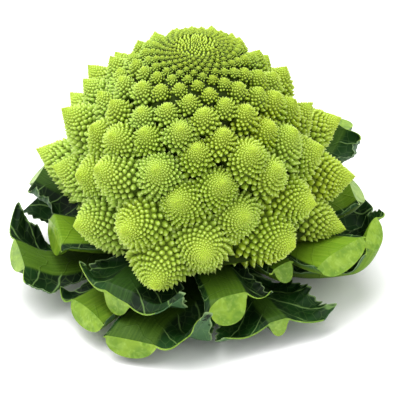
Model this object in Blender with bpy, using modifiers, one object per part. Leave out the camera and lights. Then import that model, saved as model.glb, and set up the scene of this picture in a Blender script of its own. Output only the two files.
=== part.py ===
# A romanesco head as it is sold: the curd of spiralled florets on its short cut stalk,
# in a nest of wrapper leaves that were trimmed across their thick midribs.
# Lengths are in metres and angles in degrees. +Z is up, the origin is the centre of the
# stalk's cut face, and azimuth 0 is the front (-Y), growing towards +X.

import math
from collections import namedtuple

import bmesh
import bpy
from mathutils import Matrix, Vector
from mathutils.kdtree import KDTree

# The curd is a dome: floret tips lie near a sphere, higher at the apex and wider at the rim
DOME_CENTRE = Vector((-0.003, -0.002, 0.059))
DOME_RADIUS = 0.078
APEX_RISE = 0.010
APEX_TURN = 26.0
RIM_WIDENING = 0.004
RIM_TURN = 108.0
SIDE_STRETCH = 1.02
LEAN_FORWARD = 3.26
REST_GAP = 0.0016

# Florets follow the golden angle, and their spacing grows with the distance from the apex,
# slowly on the fine knob at the apex and faster beyond it
GOLDEN_ANGLE = 180.0 * (3 - math.sqrt(5))
HEX_PACKING = 0.866
FIRST_AZIMUTH = 82.1
APEX_SPACING = 0.000959
KNOB_GROWTH = 0.1222
SPACING_GROWTH = 0.2177
GROWTH_FROM = 0.0122
GROWTH_TO = 0.0344
WIDEST_SPACING = 0.0358

# A floret is a cone with rounded sides: its size as shares of its spacing, and its lean
FLORET_HEIGHT = 0.95
APEX_HEIGHT = 0.62
HEIGHT_FROM = 0.010
HEIGHT_TO = 0.070
FLORET_REACH = 0.52
STRAIGHT_SHARE = 0.66
ROUNDING_POWER = 2.6
FLORET_LEAN = 0.85

# Large florets are irregular: in place, size and height as shares of their own, in tilt by degrees
LOOSE_FROM = 0.020
LOOSE_TO = 0.045
LOOSE_DOWN = 0.11
LOOSE_SIDE = 0.12
LOOSE_SIZE = 0.13
LOOSE_HEIGHT = 0.13
LOOSE_TILT = 10.0
LOOSE_SEED = 158

# Buds of one floret, and how many of the florets are shown where they are smallest
BUDS_FROM = 0.032
BUDS_AT_RIM = 21.5
RIM_SPACING = 0.030
BUD_STAND = 0.40
BUD_LIMIT = 0.92
BUD_SPREAD = 0.53
SPIRAL_TURN = 31.0
VALLEY = 0.10
FINE_SPACING = 0.0030
FINE_SHARE = 3
RAY_GAP = 0.012

# Underside of the curd, level over the stalk and falling towards the leaves beyond its edge,
# as rings of points: turn from the apex, radius, number of points
UNDER_LEVEL = 0.0420
UNDER_EDGE = 0.048
UNDER_SLOPE = 0.8
UNDER_RINGS = ((134, 0.0440, 24), (146, 0.0330, 20), (160, 0.0200, 10), (180, 0.0, 1))

# Stalk
STALK_RADIUS = 0.0230
STALK_TOP_RADIUS = 0.0270
STALK_HEIGHT = 0.0415
STALK_FLARE = 0.0060
STALK_RIM = 0.0015
STALK_SIDES = 28
CLEARANCE = 0.0003

# Leaves sit in two tiers up the stalk, evenly spaced there
TIER_TOP = (0.0166, 0.0346)
TIER_FIRST = (-86.0, -68.0)
TIER_PITCH = (40.0, 36.0)
TURN_FROM = 0.024
TURN_TO = 0.080

# Midribs are flat above and keeled below, and blades are thin
RIB = (0.0158, 0.0163)
RIB_TAPER = 0.40
RIB_CROWDING = 0.30
BLADE = 0.0010
LEAF_START = 0.0190
LEAF_OVERHANG = 0.008
LEAF_GAP = 0.0010
LEAF_STEPS = 8
COLUMNS = (-3.0, -2.0, -1.0, -0.62, 0.0, 0.62, 1.0, 2.0, 3.0)
KEEL = (0.0, 0.0, 0.0, 0.82, 1.0, 0.82, 0.0, 0.0, 0.0)

# Blades widen away from the stalk, droop beside the midrib, wave, and curl up near their end
SPREAD_FROM = 0.030
SPREAD_TO = 0.074
SMALL_BLADE = 0.0012
FULL_BLADE = 0.015
BLADE_RECESS = 0.002
DROOP = 0.0040
WAVE = 0.0035
WAVE_RATE = 150.0
RUFFLE = 0.20
RUFFLE_RATE = 110.0
CURL_FROM = 0.074
CURL_TO = 0.086
LIFT_FROM = 0.082

# The whole nest cups upwards beyond CUP_FROM, most on one side of the head
CUP_FROM = 0.056
CUP_LEVEL = 0.020
CUP_BEND = 20.0
CUP_SIDE = 165.0
CUP_POWER = 0.8
LEAST_BEND = 0.02

# Azimuth and distance of the cut end, midrib width, lift of the cut end, left and right blade
# width, left and right curl, slant and tilt of the cut
Leaf = namedtuple("Leaf", "azimuth cut width lift left right curl_left curl_right slant tilt")
LOWER_LEAVES = (
    Leaf(-72, 0.105, 0.024, 0.006, 0.015, 0.010, 0.008, 0.000, 0, 12),
    Leaf(-41, 0.094, 0.027, 0.000, 0.012, 0.010, 0.004, 0.003, -10, 22),
    Leaf(-23, 0.099, 0.030, -0.003, 0.006, 0.026, 0.000, 0.018, 6, 15),
    Leaf(28, 0.086, 0.010, -0.001, 0.030, 0.028, 0.000, 0.000, -6, 0),
    Leaf(75, 0.102, 0.024, 0.012, 0.003, 0.010, 0.000, 0.002, -12, 15),
    Leaf(114, 0.092, 0.024, 0.003, 0.016, 0.016, 0.000, 0.000, 0, 10),
    Leaf(154, 0.088, 0.024, 0.000, 0.018, 0.018, 0.000, 0.000, 0, 10),
    Leaf(194, 0.088, 0.024, 0.000, 0.018, 0.018, 0.000, 0.000, 0, 10),
    Leaf(240, 0.092, 0.024, 0.003, 0.018, 0.018, 0.000, 0.000, 0, 10),
)
UPPER_LEAVES = (
    Leaf(-76, 0.084, 0.030, -0.004, 0.002, 0.003, 0.000, 0.000, 0, 5),
    Leaf(-31, 0.087, 0.016, -0.005, 0.022, 0.026, 0.008, 0.022, -8, 5),
    Leaf(10, 0.088, 0.021, -0.004, 0.002, 0.014, 0.000, 0.002, 14, 25),
    Leaf(40, 0.072, 0.014, 0.001, 0.003, 0.004, 0.000, 0.000, 0, 20),
    Leaf(57, 0.096, 0.038, -0.001, 0.004, 0.002, 0.002, 0.000, -22, 22),
    Leaf(96, 0.096, 0.024, 0.002, 0.004, 0.012, 0.002, 0.008, 0, 15),
    Leaf(125, 0.119, 0.018, 0.000, 0.022, 0.020, 0.010, 0.010, 0, 10),
    Leaf(170, 0.104, 0.024, 0.000, 0.018, 0.018, 0.006, 0.006, 0, 10),
    Leaf(222, 0.106, 0.022, 0.000, 0.018, 0.012, 0.006, 0.004, 0, 10),
    Leaf(254, 0.102, 0.018, 0.000, 0.012, 0.020, 0.002, 0.010, 0, 10),
)
TIERS = (LOWER_LEAVES, UPPER_LEAVES)
KNIFE_SIZE = Vector((0.120, 0.060, 0.120))

# Base colour and roughness
GREEN_CURD = ((0.24, 0.36, 0.04, 1.0), 0.55)
PALE_STALK = ((0.30, 0.42, 0.12, 1.0), 0.50)
DARK_LEAF = ((0.035, 0.13, 0.02, 1.0), 0.45)


def clear_scene():
    for item in list(bpy.data.objects):
        bpy.data.objects.remove(item)


def new_collection(name):
    collection = bpy.data.collections.new(name)
    bpy.context.scene.collection.children.link(collection)
    return collection


def material(name, colour, roughness):
    made = bpy.data.materials.new(name)
    made.use_nodes = True
    shader = made.node_tree.nodes["Principled BSDF"]
    shader.inputs["Base Color"].default_value = colour
    shader.inputs["Roughness"].default_value = roughness
    shader.inputs["Metallic"].default_value = 0.0
    return made


def add_object(name, mesh, collection, finish):
    made = bpy.data.objects.new(name, mesh)
    collection.objects.link(made)
    mesh.materials.append(finish)
    return made


def move_to(made, collection):
    for owner in list(made.users_collection):
        owner.objects.unlink(made)
    collection.objects.link(made)


def make_cutter(cutter, name, collection):
    """Keep a solid that only cuts others out of the finished part."""
    cutter.name = name
    move_to(cutter, collection)
    cutter.hide_render = True
    cutter.display_type = "WIRE"
    return cutter


def smoothstep(low, high, value):
    share = min(1.0, max(0.0, (value - low) / (high - low)))
    return share * share * (3 - 2 * share)


def directions(azimuth):
    """Level directions along and across an azimuth."""
    angle = math.radians(azimuth)
    return Vector((math.sin(angle), -math.cos(angle), 0)), Vector((math.cos(angle), math.sin(angle), 0))


def turned(turn, outward):
    """Unit direction that lies a turn in radians away from straight up, towards a level direction."""
    return outward * math.sin(turn) + Vector((0, 0, math.cos(turn)))


def cup_bend(point):
    """Curvature of the cup on a point's side of the head."""
    azimuth = math.degrees(math.atan2(point.x, -point.y))
    share = (1 + math.cos(math.radians(azimuth - CUP_SIDE))) / 2
    return CUP_BEND * (LEAST_BEND + share ** CUP_POWER)


def cup(point):
    """Bend a point of the flat nest upwards round an arc that starts at CUP_FROM."""
    radius = math.hypot(point.x, point.y)
    if radius < CUP_FROM:
        return point
    centre = 1 / cup_bend(point) + CUP_LEVEL
    turn = cup_bend(point) * (radius - CUP_FROM)
    cupped = CUP_FROM + (centre - point.z) * math.sin(turn)
    height = centre - (centre - point.z) * math.cos(turn)
    return Vector((point.x * cupped / radius, point.y * cupped / radius, height))


def nest_height(point):
    """Height of the upper leaves' faces at a point's place, which the curd stays above."""
    beyond = max(0.0, math.hypot(point.x, point.y) - CUP_FROM)
    centre = 1 / cup_bend(point) + CUP_LEVEL
    return centre - math.sqrt(max(0.0, (centre - TIER_TOP[1]) ** 2 - beyond ** 2))


def dome_radius(turn):
    """Distance of the floret tips from the centre of the dome."""
    radius = DOME_RADIUS + APEX_RISE * math.exp(-(turn / math.radians(APEX_TURN)) ** 2)
    return radius + RIM_WIDENING * smoothstep(math.radians(70), math.radians(100), turn)


def floret_spacing(distance):
    growth = KNOB_GROWTH + SPACING_GROWTH * smoothstep(GROWTH_FROM, GROWTH_TO, distance)
    return min(WIDEST_SPACING, APEX_SPACING + growth * distance)


def irregular(number, kind):
    """A repeatable irregularity between -1 and 1."""
    return 2 * ((math.sin(number * 12.9898 + (kind + LOOSE_SEED) * 78.233) * 43758.5453) % 1.0) - 1


def floret_at(number, distance, spacing):
    """Place, directions and size of one floret."""
    loose = smoothstep(LOOSE_FROM, LOOSE_TO, distance)
    girth = max(0.010, DOME_RADIUS * math.sin(distance / DOME_RADIUS))
    sideways = LOOSE_SIDE * loose * irregular(number, 1) * spacing / girth
    turn = (distance + LOOSE_DOWN * loose * irregular(number, 2) * spacing) / DOME_RADIUS
    outward, side = directions(FIRST_AZIMUTH - number * GOLDEN_ANGLE + math.degrees(sideways))
    tall = APEX_HEIGHT + (FLORET_HEIGHT - APEX_HEIGHT) * smoothstep(HEIGHT_FROM, HEIGHT_TO, distance)
    reach = dome_radius(turn) - tall * spacing
    spacing = spacing * (1 + LOOSE_SIZE * loose * irregular(number, 3))
    axis = turned(FLORET_LEAN * turn, outward)
    axis = Matrix.Rotation(math.radians(LOOSE_TILT * loose * irregular(number, 5)), 3, side) @ axis
    axis = Matrix.Rotation(math.radians(LOOSE_TILT * loose * irregular(number, 6)), 3, side.cross(axis)) @ axis
    across = (side - axis * side.dot(axis)).normalized()
    forward = Matrix.Rotation(math.radians(LEAN_FORWARD), 3, "X")
    base = forward @ (turned(turn, outward) * reach)
    return {
        "number": number,
        "base": DOME_CENTRE + Vector((base.x * SIDE_STRETCH, base.y, base.z)),
        "spot": DOME_CENTRE + forward @ (turned(turn, outward) * DOME_RADIUS),
        "down": forward @ turned(turn + math.pi / 2, outward),
        "axis": forward @ axis,
        "side": forward @ across,
        "fore": forward @ across.cross(axis),
        "spacing": spacing,
        "height": tall * spacing * (1 + LOOSE_HEIGHT * loose * irregular(number, 4)),
        "distance": distance,
    }


def place_florets():
    """The florets from the apex to the rim, with one of a few where they are finest."""
    florets = []
    distance, number = APEX_SPACING / 2, 0
    while math.degrees(distance / DOME_RADIUS) < RIM_TURN:
        spacing = floret_spacing(distance)
        if spacing > FINE_SPACING or number % FINE_SHARE == 0:
            florets.append(floret_at(number, distance, spacing))
        distance += HEX_PACKING * spacing ** 2 / (2 * math.pi * DOME_RADIUS * math.sin(distance / DOME_RADIUS))
        number += 1
    return florets


def floret_side(share):
    """Half width and height at a share of the way down a floret's side, in shares of their own."""
    return share - 0.10 * share ** 3, 1 - STRAIGHT_SHARE * share - (1 - STRAIGHT_SHARE) * share ** ROUNDING_POWER


def floret_buds(floret):
    """Buds of one floret: spot on the dome, root on the floret's cone, and tip."""
    spacing, height, axis, base = floret["spacing"], floret["height"], floret["axis"], floret["base"]
    if floret["distance"] < BUDS_FROM:
        return [(floret["spot"], base + axis * height * 0.3, base + axis * height)]
    count = max(5, round(BUDS_AT_RIM * spacing / RIM_SPACING))
    reach = FLORET_REACH * spacing
    stand = BUD_STAND * reach / math.sqrt(count)
    buds = [(floret["spot"], base + axis * height * 0.84, base + axis * height)]
    for k in range(1, count + 1):
        share = BUD_LIMIT * math.sqrt((k - 0.35) / count)
        around = math.radians(floret["number"] * SPIRAL_TURN + k * GOLDEN_ANGLE)
        spot = floret["side"] * math.cos(around) + floret["down"] * math.sin(around)
        out = floret["side"] * math.cos(around) + floret["fore"] * math.sin(around)
        wide, tall = floret_side(share)
        root = base + out * reach * wide + axis * height * tall
        facing = (out * height + axis * reach).normalized()
        buds.append((floret["spot"] + spot * BUD_SPREAD * spacing * share, root, root + facing * stand))
    return buds


def hull_triangles(rays):
    """Triangles between rays from one centre, as rows of three ray numbers."""
    shape = bmesh.new()
    number = shape.verts.layers.int.new("number")
    for i, ray in enumerate(rays):
        vert = shape.verts.new(ray)
        vert[number] = i
    bmesh.ops.convex_hull(shape, input=shape.verts, use_existing_faces=False)
    bmesh.ops.triangulate(shape, faces=shape.faces)
    triangles = [tuple(v[number] for v in face.verts) for face in shape.faces]
    shape.free()
    return triangles


def mean(vectors):
    return sum(vectors, Vector()) / len(vectors)


def rest_height(point):
    """Least height of the curd at a point's place, above the stalk and the leaves."""
    beyond = max(0.0, math.hypot(point.x, point.y) - UNDER_EDGE)
    return max(UNDER_LEVEL - UNDER_SLOPE * beyond, nest_height(point) + REST_GAP)


def in_sight(places):
    """The places without those that lie close behind a higher one, seen from the dome's centre."""
    rays = [place - DOME_CENTRE for place in places]
    tree = KDTree(len(rays))
    for i, ray in enumerate(rays):
        tree.insert(ray.normalized(), i)
    tree.balance()
    kept = []
    for place, ray in zip(places, rays):
        near = tree.find_range(ray.normalized(), RAY_GAP)
        if ray.length >= max(rays[i].length for _, i, _ in near):
            kept.append(place)
    return kept


def make_curd(collection, finish):
    """One skin over all florets: a high point for each bud and a low point between each three."""
    points = []
    for owner, floret in enumerate(place_florets()):
        points += [(owner, *bud, floret["base"]) for bud in floret_buds(floret)]
    for turn, radius, count in UNDER_RINGS:
        for k in range(count):
            outward, _ = directions(360.0 * k / count)
            place = outward * radius + Vector((0, 0, UNDER_LEVEL))
            spot = DOME_CENTRE + turned(math.radians(turn), outward) * DOME_RADIUS
            points.append((-1, spot, place, place, place))
    places = [tip for _, _, _, tip, _ in points]
    for corners in hull_triangles([(spot - DOME_CENTRE).normalized() for _, spot, _, _, _ in points]):
        owners, _, roots, _, bases = zip(*(points[i] for i in corners))
        if set(owners) == {-1}:
            continue
        inward = mean(roots) - DOME_CENTRE
        depth = inward.length
        if len(set(owners)) > 1:
            depth = VALLEY * depth + (1 - VALLEY) * (mean(bases) - DOME_CENTRE).length
        places.append(DOME_CENTRE + inward.normalized() * depth)
    for place in places:
        place.z = max(place.z, rest_height(place))
    places = in_sight(places)
    mesh = bpy.data.meshes.new("curd")
    mesh.from_pydata(places, [], hull_triangles([(place - DOME_CENTRE).normalized() for place in places]))
    mesh.validate()
    mesh.update()
    return add_object("curd", mesh, collection, finish)


def make_stalk(collection, finish):
    """Turned stalk with a flat cut face below, flaring to the curd above."""
    outline = (
        (0.0, STALK_HEIGHT),
        (STALK_TOP_RADIUS, STALK_HEIGHT),
        (STALK_RADIUS, STALK_HEIGHT - STALK_FLARE),
        (STALK_RADIUS, STALK_RIM),
        (STALK_RADIUS - STALK_RIM, 0.0),
        (0.0, 0.0),
    )
    mesh = bpy.data.meshes.new("stalk")
    edges = [(i, i + 1) for i in range(len(outline) - 1)]
    mesh.from_pydata([(radius, 0.0, height) for radius, height in outline], edges, [])
    stalk = add_object("stalk", mesh, collection, finish)
    screw = stalk.modifiers.new("turn", "SCREW")
    screw.steps = screw.render_steps = STALK_SIDES
    screw.use_merge_vertices = True
    screw.merge_threshold = 0.0001
    return stalk


def make_stalk_cutter(collection):
    """A slightly wider stalk, which cuts the leaf bases to fit round it."""
    bpy.ops.mesh.primitive_cylinder_add(
        vertices=STALK_SIDES, radius=(STALK_RADIUS + CLEARANCE) / math.cos(math.pi / STALK_SIDES),
        depth=3 * STALK_HEIGHT, location=(0, 0, STALK_HEIGHT / 2))
    return make_cutter(bpy.context.object, "stalk_cutter", collection)


def heading(tier, place, reach):
    """Azimuth of a leaf, which turns from its place on the stalk to that of its cut end."""
    base = TIER_FIRST[tier] + TIER_PITCH[tier] * place
    return base + (TIERS[tier][place].azimuth - base) * smoothstep(TURN_FROM, TURN_TO, reach)


def half_widths(leaf, reach):
    """Half width of the midrib, then the widths of the left and the right blade, at a distance."""
    along = (reach - LEAF_START) / (leaf.cut - LEAF_START)
    half = min(RIB_CROWDING * reach, leaf.width * (0.42 + 0.08 * along))
    spread = smoothstep(SPREAD_FROM, SPREAD_TO, reach)
    return half, SMALL_BLADE + leaf.left * spread, SMALL_BLADE + leaf.right * spread


def side_room(tier, place, side, reach):
    """How far a leaf may reach sideways before it meets its neighbour in the same tier."""
    other = (place + side) % len(TIERS[tier])
    gap = abs(heading(tier, other, reach) - heading(tier, place, reach))
    gap = min(gap, 360.0 - gap)
    half, left, right = half_widths(TIERS[tier][place], reach)
    other_half, other_left, other_right = half_widths(TIERS[tier][other], reach)
    own = half + (right if side > 0 else left)
    others = other_half + (other_left if side > 0 else other_right)
    return reach * math.tan(math.radians(gap * own / (own + others))) - LEAF_GAP


def leaf_point(tier, place, along, across):
    """Place on a leaf's upper face. along runs 0 to 1 outwards, across -3 to 3 over blade, rib, blade."""
    leaf = TIERS[tier][place]
    side = 1 if across > 0 else -1
    out = max(0.0, abs(across) - 1.0) / 2.0
    end = leaf.cut + LEAF_OVERHANG * (1 - out) - BLADE_RECESS * out
    reach = LEAF_START + (end - LEAF_START) * along ** 0.75
    half, left, right = half_widths(leaf, reach)
    room = side_room(tier, place, side, reach)
    half = min(half, room - SMALL_BLADE)
    ruffle = 1 + RUFFLE * math.sin(RUFFLE_RATE * reach + 0.3 * leaf.azimuth + side)
    blade = min((right if side > 0 else left) * ruffle, room - half)
    lateral = half * min(1.0, abs(across)) + blade * out
    wave = WAVE * (1 + math.sin(WAVE_RATE * reach + 0.2 * leaf.azimuth + 2 * side)) * out
    sag = (wave + DROOP * math.sin(math.pi * out)) * min(1.0, blade / FULL_BLADE)
    curl = leaf.curl_right if side > 0 else leaf.curl_left
    rise = curl * smoothstep(CURL_FROM, CURL_TO, reach) * out ** 1.6
    rise += leaf.lift * smoothstep(LIFT_FROM, leaf.cut, reach)
    outward, sideways = directions(heading(tier, place, reach))
    level = Vector((0, 0, TIER_TOP[tier] - sag + rise))
    return cup(outward * reach + sideways * side * lateral + level)


def make_knife(name, tier, place, collection):
    """A box whose near face is the plane in which the leaf was cut off."""
    leaf = TIERS[tier][place]
    outward, _ = directions(leaf.azimuth)
    middle = Vector((0, 0, TIER_TOP[tier] + leaf.lift - RIB[tier] / 2))
    near = cup(outward * leaf.cut + middle)
    inner = cup(outward * (leaf.cut - RIB[tier] / 4) + middle)
    slope = math.atan2(near.z - inner.z, (near - inner).to_2d().length)
    bpy.ops.mesh.primitive_cube_add(size=1)
    knife = make_cutter(bpy.context.object, name, collection)
    knife.scale = KNIFE_SIZE
    knife.rotation_euler = (-slope - math.radians(leaf.tilt), 0.0, math.radians(leaf.azimuth + leaf.slant))
    knife.location = near + knife.rotation_euler.to_matrix() @ Vector((0, -KNIFE_SIZE.y / 2, 0))
    return knife


def make_leaf(name, tier, place, collection, finish, cutters):
    """A midrib with a blade along each side in one solid, cut off at the stalk and at its end."""
    bpy.ops.mesh.primitive_grid_add(x_subdivisions=len(COLUMNS) - 1, y_subdivisions=LEAF_STEPS, size=2)
    leaf = bpy.context.object
    leaf.name = leaf.data.name = name
    move_to(leaf, collection)
    leaf.data.materials.append(finish)
    group = leaf.vertex_groups.new(name="keel")
    thinnest = BLADE / RIB[tier]
    for vert in leaf.data.vertices:
        column = round((1 - vert.co.x) / 2 * (len(COLUMNS) - 1))
        along = (vert.co.y + 1) / 2
        keel = KEEL[column] * (1 - RIB_TAPER * along)
        group.add([vert.index], thinnest + keel * (1 - thinnest), "REPLACE")
        vert.co = leaf_point(tier, place, along, COLUMNS[column])
    split = leaf.modifiers.new("split", "TRIANGULATE")
    split.quad_method = "FIXED"
    wall = leaf.modifiers.new("thickness", "SOLIDIFY")
    wall.thickness = RIB[tier]
    wall.offset = -1
    wall.vertex_group = "keel"
    wall.thickness_vertex_group = 0.0
    for cutter in cutters:
        trim = leaf.modifiers.new("trim", "BOOLEAN")
        trim.operation = "DIFFERENCE"
        trim.solver = "EXACT"
        trim.object = cutter
    return leaf


def main():
    clear_scene()
    head = new_collection("romanesco_head")
    cutters = new_collection("cutters")
    make_curd(head, material("curd_green", *GREEN_CURD))
    make_stalk(head, material("stalk_pale", *PALE_STALK))
    stalk_cutter = make_stalk_cutter(cutters)
    leaf_finish = material("leaf_green", *DARK_LEAF)
    places = [(tier, place) for tier, leaves in enumerate(TIERS) for place in range(len(leaves))]
    for number, (tier, place) in enumerate(places, start=1):
        knife = make_knife(f"knife_{number:02d}", tier, place, cutters)
        make_leaf(f"leaf_{number:02d}", tier, place, head, leaf_finish, (stalk_cutter, knife))


main()
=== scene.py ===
# Looks of the romanesco head: beaded florets, veined wrapper leaves cut across their midribs, stalk.
# Lengths are in metres and angles in degrees, as in the frame. Azimuth 0 is the front (-Y).
import math
import random

import bpy
import numpy as np
from mathutils import Euler, Matrix, Vector


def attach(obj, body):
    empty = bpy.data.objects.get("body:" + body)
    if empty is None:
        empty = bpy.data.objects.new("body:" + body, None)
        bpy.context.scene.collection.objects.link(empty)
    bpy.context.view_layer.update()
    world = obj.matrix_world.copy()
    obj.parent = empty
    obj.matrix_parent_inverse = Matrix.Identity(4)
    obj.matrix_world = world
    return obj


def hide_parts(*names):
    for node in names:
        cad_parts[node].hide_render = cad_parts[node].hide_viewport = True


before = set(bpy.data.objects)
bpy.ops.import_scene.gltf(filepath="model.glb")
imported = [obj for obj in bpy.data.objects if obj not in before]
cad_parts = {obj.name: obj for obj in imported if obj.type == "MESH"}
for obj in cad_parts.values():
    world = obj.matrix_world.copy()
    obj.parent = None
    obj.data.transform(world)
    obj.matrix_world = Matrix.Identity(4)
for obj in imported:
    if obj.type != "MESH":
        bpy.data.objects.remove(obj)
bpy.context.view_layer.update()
random.seed(11)
golden = 180.0 * (3 - math.sqrt(5))
print("frame loaded,", len(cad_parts), "nodes")

# The photograph was taken a little from above, with a long lens
shot = {
    "elevation": 34.0,
    "distance": 1.8,
    "width": 0.217,          # what the picture spans at the head
    "sensor": 36.0,
    "aim": (0.0, 0.0, 0.0424),
}


def deselect():
    bpy.ops.object.select_all(action="DESELECT")


def pick(thing):
    deselect()
    thing.select_set(True)
    bpy.context.view_layer.objects.active = thing


def smoothStep(low, high, value):
    share = min(1.0, max(0.0, (value - low) / (high - low)))
    return share * share * (3 - 2 * share)


def levelDirections(azimuth):
    angle = math.radians(azimuth)
    return Vector((math.sin(angle), -math.cos(angle), 0)), Vector((math.cos(angle), math.sin(angle), 0))


def turnedUp(turn, outward):
    return outward * math.sin(turn) + Vector((0, 0, math.cos(turn)))


def makeCamera():
    tilt = math.radians(shot["elevation"])
    aim = Vector(shot["aim"])
    place = aim + shot["distance"] * Vector((0, -math.cos(tilt), math.sin(tilt)))
    bpy.ops.object.camera_add(location=place, rotation=(math.pi / 2 - tilt, 0, 0))
    camera = bpy.context.object
    camera.data.sensor_width = shot["sensor"]
    camera.data.lens = shot["sensor"] * shot["distance"] / shot["width"]
    bpy.context.scene.camera = camera


# A material whose nodes are added and linked by short calls
class Finish:
    def __init__(self, name):
        self.material = bpy.data.materials.new(name)
        self.material.use_nodes = True
        self.tree = self.material.node_tree
        self.shader = self.tree.nodes["Principled BSDF"]

    def add(self, kind, settings=None, **inputs):
        node = self.tree.nodes.new(kind)
        for key, value in (settings or {}).items():
            setattr(node, key, value)
        for key, value in inputs.items():
            self.feed(node, key, value)
        return node

    def feed(self, node, key, value):
        socket = node.inputs[int(key[1:])] if key[0] == "n" and key[1:].isdigit() else node.inputs[key]
        if isinstance(value, bpy.types.NodeSocket):
            self.tree.links.new(value, socket)
        else:
            socket.default_value = value

    def maths(self, operation, first, second=0.0):
        node = self.add("ShaderNodeMath", {"operation": operation}, n0=first, n1=second)
        return node.outputs[0]

    def times(self, first, second):
        return self.maths("MULTIPLY", first, second)

    def blend(self, share, low, high):
        node = self.add("ShaderNodeMix", {"data_type": "RGBA"}, n0=share, n6=low, n7=high)
        return node.outputs[2]

    def ramp(self, value, low, high):
        smooth = {"interpolation_type": "SMOOTHSTEP"}
        return self.add("ShaderNodeMapRange", smooth, n0=value, n1=low, n2=high).outputs[0]

    def noise(self, place, scale, detail=3.0, roughness=0.55, distortion=0.0):
        node = self.add("ShaderNodeTexNoise", None, Vector=place, Scale=scale, Detail=detail,
                        Roughness=roughness, Distortion=distortion)
        return node.outputs["Fac"]

    def bump(self, height, strength, distance, normal=None):
        node = self.add("ShaderNodeBump", None, Height=height, Strength=strength, Distance=distance)
        if normal is not None:
            self.tree.links.new(normal, node.inputs["Normal"])
        return node.outputs[0]

    def objectPlace(self):
        return self.add("ShaderNodeTexCoord").outputs["Object"]

    def leafLayer(self, name):
        return self.add("ShaderNodeUVMap", {"uv_map": name}).outputs[0]

    def stretched(self, place, scale):
        return self.add("ShaderNodeMapping", None, Vector=place, Scale=scale).outputs[0]

    def partsOf(self, vector):
        return self.add("ShaderNodeSeparateXYZ", None, Vector=vector).outputs

    def colourPaint(self, name):
        node = self.add("ShaderNodeAttribute", {"attribute_name": name})
        return self.add("ShaderNodeSeparateColor", None, Color=node.outputs["Color"]).outputs

    def shade(self, **inputs):
        for key, value in inputs.items():
            self.feed(self.shader, key.replace("_", " "), value)
        return self.material


# Colour from the 0 to 255 values that an eye reads off a screen
def srgb(red, green, blue):
    values = [c / 255 for c in (red, green, blue)]
    return tuple(c / 12.92 if c <= 0.04045 else ((c + 0.055) / 1.055) ** 2.4 for c in values) + (1.0,)


# The curd: the same dome, spiral and irregularities as its solid, with beads on every floret.
# A distance is measured from the apex over the dome, and a turn from the apex at its centre.
curd = {
    "centre": Vector((-0.003, -0.002, 0.059)),
    "radius": 0.078,
    "leanForward": 3.26,
    "sideStretch": 1.02,
    "apexRise": 0.010,        # how much higher the dome is at the apex, and how wide this rise is
    "apexTurn": 26.0,
    "rimWidening": 0.004,     # how much wider it is at its rim
    "rimFrom": 70.0,
    "rimTo": 100.0,
    "rimTurn": 108.0,         # where the florets end
    "firstAzimuth": 82.1,
    "spacing": 0.000959,      # of the florets at the apex
    "knobGrowth": 0.1222,     # how it grows with the distance, first on the knob
    "growth": 0.2177,         # and how much faster below it
    "growthFrom": 0.0122,
    "growthTo": 0.0344,
    "widest": 0.0358,
    "apexHeight": 0.62,       # height of a floret as a share of its spacing, on the knob
    "fullHeight": 0.95,       # and at the foot of the curd
    "heightFrom": 0.010,
    "heightTo": 0.070,
    "reach": 0.54,            # half width of a floret, as a share of its spacing
    "straight": 0.75,         # how much of its side is a straight cone
    "roundingPower": 2.6,
    "footNarrowing": 0.10,
    "lean": 0.85,             # how far it turns with the dome
    "looseFrom": 0.020,
    "looseTo": 0.045,
    "looseDown": 0.11,        # irregularities, as shares of the spacing, the size and the height
    "looseSide": 0.12,
    "looseSize": 0.13,
    "looseHeight": 0.13,
    "looseTilt": 10.0,
    "looseSeed": 158,
    "leastGirth": 0.01,       # of the dome, where a floret is moved round it
    "spiralTurn": 31.0,       # of a floret's beads against those of the floret before it
    "beadSpacing": 0.00060,   # of the beads at a floret's tip
    "firstBead": 0.1,         # how far below the tip, as a share of that
    "beadGrowth": (0.185, 0.120),
    "beadGrowthFor": (0.005, 0.030),
    "beadLoose": 0.18,        # irregularity of its place, as a share of its width
    "beadSizes": (0.92, 1.08),
    "beadWidth": 0.52,        # half width of a bead, as a share of its spacing
    "beadTall": 1.5926,       # height and root, as shares of its half width
    "beadRoot": 0.7,
    "beadSunk": 0.0005,
    "beadLift": 0.9,          # how far a bead turns up along its floret, at the tip
    "beadDrop": 0.7,          # how much less it does so at the foot
    "beadBuried": 0.8,        # how deep it has to lie in another floret to be left out
    "beadClear": 0.4,         # of the leaves and the stalk, as a share of its width
    "single": 0.0021,         # a floret narrower than this is one bead
    "singleSunk": 0.97,       # as a share of its spacing
    "singleShare": 0.34,      # where its colour lies between tip and foot
    "small": 0.0011,          # widths at which the beads get a finer shape
    "large": 0.0022,
    "most": 180000,           # triangles in one piece
    "paleLoose": 0.5,         # how pale a floret is by chance, and how much paler towards the left side as painted light from the left
    "leftLightPaling": 0.7,
    "leftLightFrom": 0.02,
    "leftLightTo": -0.07,
}

# The ground that one floret or bead takes up in an even pattern, as a share of its spacing squared
evenShare = 0.866

# The shapes of beads, each grown from a round foot by steps of rise and narrowing
beadShapes = {
    "beads": {"sides": 5, "steps": ((0.70, 0.82),), "tip": 0.85},
    "roundBeads": {"sides": 6, "steps": ((0.55, 0.96), (0.50, 0.58)), "tip": 0.48},
    "buds": {"sides": 10, "steps": ((0.42, 1.0), (0.38, 0.82), (0.38, 0.70), (0.36, 0.54)), "tip": 0.34},
}

# How far the knobs of a bud stand out
budKnobs = 0.13

# The plain body of a floret, with a root below its foot
floretBody = {
    "sides": 16,
    "shares": (1.0, 0.82, 0.64, 0.46, 0.30, 0.15),
    "rootDepth": 0.45,
    "rootWidth": 0.55,
    "width": 0.97,
    "sunk": 1.3,              # as a share of what the beads are sunk by
    "dark": 0.2,              # painted shade and highlight: how far its foot rises out of the painted shade of the gaps, and how much further its tip, towards the painted highlight
    "light": 0.6,
    "pale": 0.3,
}


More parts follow.
